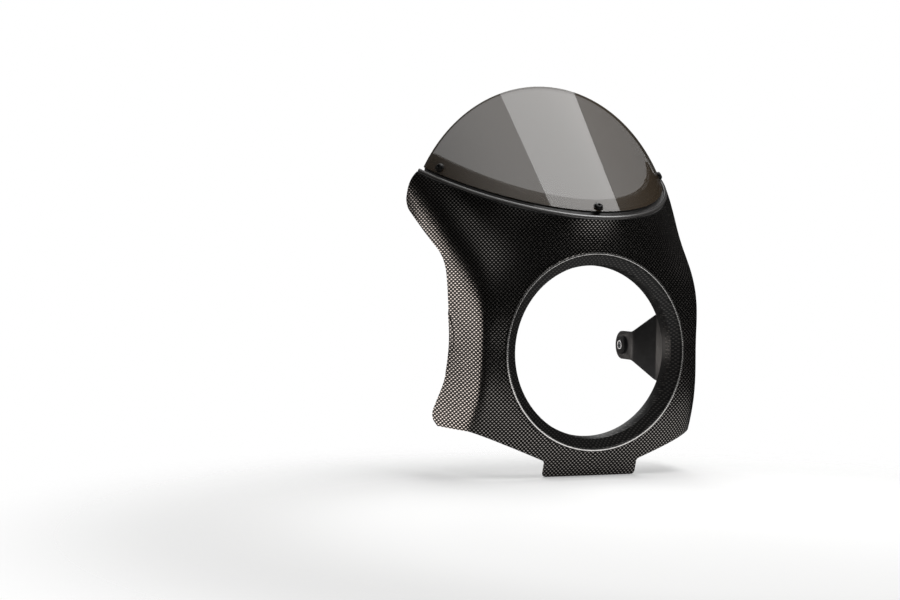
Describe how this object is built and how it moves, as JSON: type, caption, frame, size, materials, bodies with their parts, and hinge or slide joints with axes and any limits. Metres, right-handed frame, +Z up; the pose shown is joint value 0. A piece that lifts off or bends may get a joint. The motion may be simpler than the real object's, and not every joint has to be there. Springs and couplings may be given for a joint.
{
  "type": "half fairing",
  "caption": "Moulded half fairing that wraps a round motorcycle headlamp, with a raked smoked screen on its brow and rubber-bushed stays for the fork's lamp ears.",
  "frame": {"origin": "on the lamp's axis, halfway along the wall of the round lamp seat", "axes": "-Y forwards out of the lamp opening, +X to the rider's left, +Z up"},
  "size_m": [0.3346, 0.1865, 0.45],
  "materials": {
    "shell": "satin, woven carbon print",
    "screen": "smoked, clear gloss",
    "black_screw": "black, satin",
    "nylon": "black nylon",
    "rubber": "matt black rubber",
    "brass": "turned brass",
    "stay_paint": "black powder coat",
    "zinc": "bright zinc plate"
  },
  "bodies": {
    "root": {"fairing_shell": "shell", "windscreen": "screen", "screen_screws": "black_screw", "screen_washers": "nylon", "well_nuts": "rubber", "well_nut_inserts": "brass", "stay_left": "stay_paint", "stay_right": "stay_paint", "stay_inserts": "brass", "stay_screws": "zinc", "stay_washers": "zinc", "stay_bushes": "rubber", "bush_sleeves": "zinc"}
  },
  "joints": []
}
